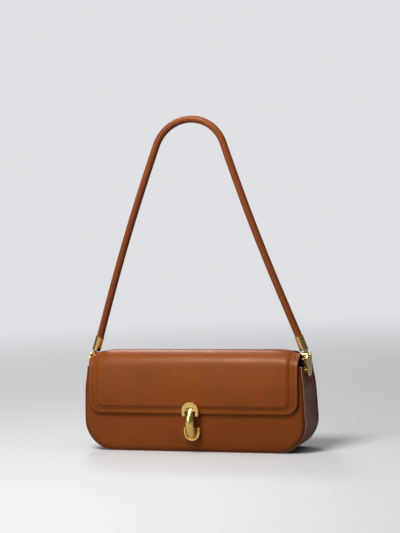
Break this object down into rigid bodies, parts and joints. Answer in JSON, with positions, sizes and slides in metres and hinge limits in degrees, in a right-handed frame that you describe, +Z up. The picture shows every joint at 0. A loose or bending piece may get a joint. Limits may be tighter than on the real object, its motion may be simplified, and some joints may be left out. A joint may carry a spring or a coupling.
{
  "type": "baguette bag",
  "caption": "Small baguette shoulder bag with a padded front flap, a hinged bar clasp and a slim rolled handle on pivoting end fittings.",
  "frame": {"origin": "middle of the bag's flat base, on the ground", "axes": "+X along the bag to the right seen from the front, +Y to the back, +Z up"},
  "size_m": [0.2616, 0.07, 0.3724],
  "materials": {
    "cognac_leather": "smooth cognac calf leather, semi gloss",
    "handle_hide": "smooth cognac calf leather, rolled and stitched",
    "edge_paint": "turned leather edge with lighter edge paint",
    "lining_leather": "thin split leather, matt",
    "lining": "dark brown microfibre",
    "foam": "thin closed foam",
    "board": "pressed fibre board",
    "cord": "twisted cotton cord",
    "gold_metal": "polished gold plating on zinc",
    "steel": "bare steel",
    "magnet": "nickel plated magnet"
  },
  "bodies": {
    "root": {"front_panel": "cognac_leather", "back_panel": "cognac_leather", "gusset": "cognac_leather", "front_welt": "edge_paint", "back_welt": "edge_paint", "front_board": "board", "back_board": "board", "base_insert": "board", "front_lining": "lining", "back_lining": "lining", "gusset_lining": "lining", "front_facing": "cognac_leather", "top_lining": "lining", "slip_pocket": "lining", "clasp_cup": "gold_metal", "clasp_cup_backing": "steel", "clasp_cup_screws": "steel", "clasp_magnet": "magnet", "left_yoke": "gold_metal", "right_yoke": "gold_metal", "left_pivot_pin": "gold_metal", "right_pivot_pin": "gold_metal", "left_yoke_backing": "steel", "right_yoke_backing": "steel", "yoke_rivets": "gold_metal"},
    "flap": {"flap_leather": "cognac_leather", "flap_padding": "foam", "flap_lining": "lining_leather", "clasp_arch": "gold_metal", "clasp_arch_backing": "steel", "clasp_arch_screws": "steel", "clasp_hinge_pin": "gold_metal"},
    "clasp_bar": {"clasp_bar": "gold_metal"},
    "handle": {"handle_leather": "handle_hide", "handle_core": "cord", "left_sleeve": "gold_metal", "right_sleeve": "gold_metal", "sleeve_screws": "gold_metal"}
  },
  "joints": [
    {"name": "flap_fold", "type": "hinge", "parent": "root", "child": "flap", "pos_m": [0, -0.008, 0.1124], "axis": [-1, 0, 0], "range_deg": [0, 95]},
    {"name": "bar_lift", "type": "hinge", "parent": "flap", "child": "clasp_bar", "pos_m": [0, -0.03317, 0.04783], "axis": [-1, 0, 0], "range_deg": [0, 60]},
    {"name": "handle_swing", "type": "hinge", "parent": "root", "child": "handle", "pos_m": [0, 0, 0.1055], "axis": [-1, 0, 0], "range_deg": [0, 60]}
  ]
}
